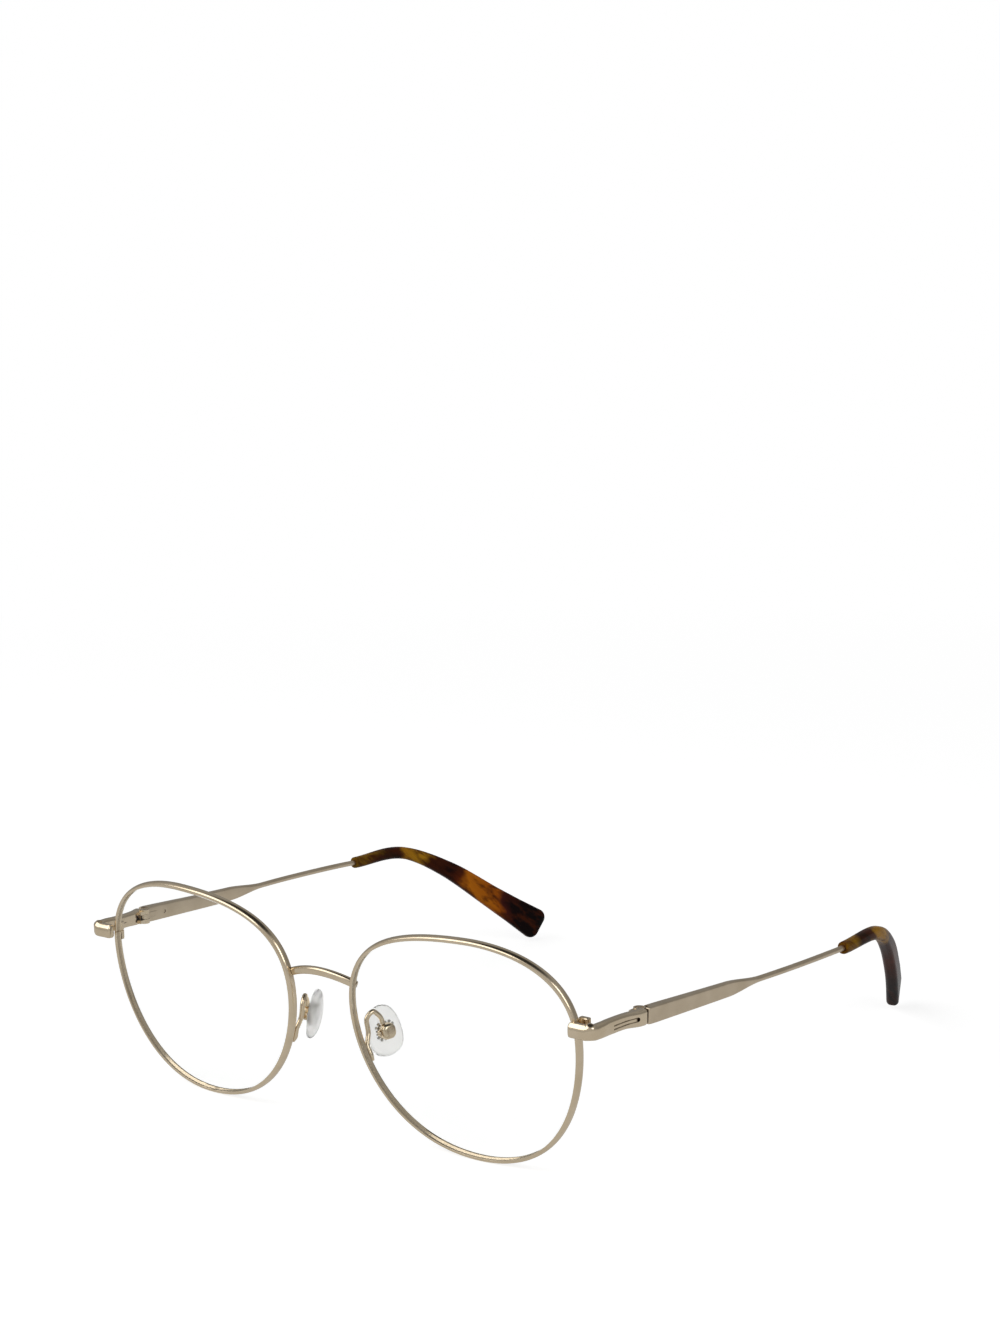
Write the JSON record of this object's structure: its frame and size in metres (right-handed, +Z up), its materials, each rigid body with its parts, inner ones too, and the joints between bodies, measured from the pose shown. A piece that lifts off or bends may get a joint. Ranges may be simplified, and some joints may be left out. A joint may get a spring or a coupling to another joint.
{
  "type": "round metal eyeglasses",
  "caption": "Round wire-rimmed eyeglasses with clear lenses, soft nose pads on gooseneck arms and spring-loaded temples that fold on screwed hinges.",
  "frame": {"origin": "on the table, under the middle of the bounding box, with the temples open and the frame standing on both rims and both temple tips", "axes": "+Z up, +X to the wearer's left, +Y from the lenses back along the temples"},
  "size_m": [0.1428, 0.1538, 0.0476],
  "materials": {
    "polished_gold": "polished pale champagne gold plating",
    "satin_gold": "satin pale champagne gold plating",
    "spring_steel": "bare spring steel",
    "demo_lens": "clear acrylic",
    "silicone": "milky translucent silicone",
    "tortoise_acetate": "semi-gloss tortoiseshell, from amber to near black"
  },
  "bodies": {
    "front": {"bridge": "polished_gold", "rim_left": "polished_gold", "rim_right": "polished_gold", "lens_left": "demo_lens", "lens_right": "demo_lens", "end_piece_left": "satin_gold", "end_piece_right": "satin_gold", "rim_lock_upper_left": "polished_gold", "rim_lock_upper_right": "polished_gold", "rim_lock_lower_left": "polished_gold", "rim_lock_lower_right": "polished_gold", "rim_screw_left": "polished_gold", "rim_screw_right": "polished_gold", "hinge_screw_left": "polished_gold", "hinge_screw_right": "polished_gold", "pad_arm_left": "polished_gold", "pad_arm_right": "polished_gold", "pad_box_left": "polished_gold", "pad_box_right": "polished_gold", "pad_screw_left": "polished_gold", "pad_screw_right": "polished_gold"},
    "pad_left": {"nose_pad_left": "silicone", "pad_insert_left": "spring_steel"},
    "pad_right": {"nose_pad_right": "silicone", "pad_insert_right": "spring_steel"},
    "slider_left": {"flex_slider_left": "satin_gold", "flex_stop_left": "spring_steel"},
    "slider_right": {"flex_slider_right": "satin_gold", "flex_stop_right": "spring_steel"},
    "temple_left": {"temple_left": "satin_gold", "temple_tip_left": "tortoise_acetate", "flex_bush_left": "spring_steel", "bush_pin_left": "satin_gold", "flex_spring_left": "spring_steel"},
    "temple_right": {"temple_right": "satin_gold", "temple_tip_right": "tortoise_acetate", "flex_bush_right": "spring_steel", "bush_pin_right": "satin_gold", "flex_spring_right": "spring_steel"}
  },
  "joints": [
    {"name": "temple_fold_left", "type": "hinge", "parent": "front", "child": "slider_left", "pos_m": [0.0672, -0.05677, 0.03256], "axis": [0, 0, 1], "range_deg": [-8, 88]},
    {"name": "temple_fold_right", "type": "hinge", "parent": "front", "child": "slider_right", "pos_m": [-0.0672, -0.05677, 0.03256], "axis": [0, 0, -1], "range_deg": [-8, 84]},
    {"name": "flex_slide_left", "type": "slide", "parent": "slider_left", "child": "temple_left", "axis": [0.0326, 0.9982, -0.0502], "range_m": [0, 0.001], "stiffness_N_per_m": 900, "springref_m": -0.0005, "deforming": ["flex_spring_left"]},
    {"name": "flex_slide_right", "type": "slide", "parent": "slider_right", "child": "temple_right", "axis": [-0.0326, 0.9982, -0.0502], "range_m": [0, 0.001], "stiffness_N_per_m": 900, "springref_m": -0.0005, "deforming": ["flex_spring_right"]},
    {"name": "pad_rock_left", "type": "hinge", "parent": "front", "child": "pad_left", "pos_m": [0.01127, -0.06598, 0.02175], "axis": [0.3941, 0.9058, 0.1554], "range_deg": [-6, 6]},
    {"name": "pad_rock_right", "type": "hinge", "parent": "front", "child": "pad_right", "pos_m": [-0.01127, -0.06598, 0.02175], "axis": [-0.3941, 0.9058, 0.1554], "range_deg": [-6, 6]}
  ]
}
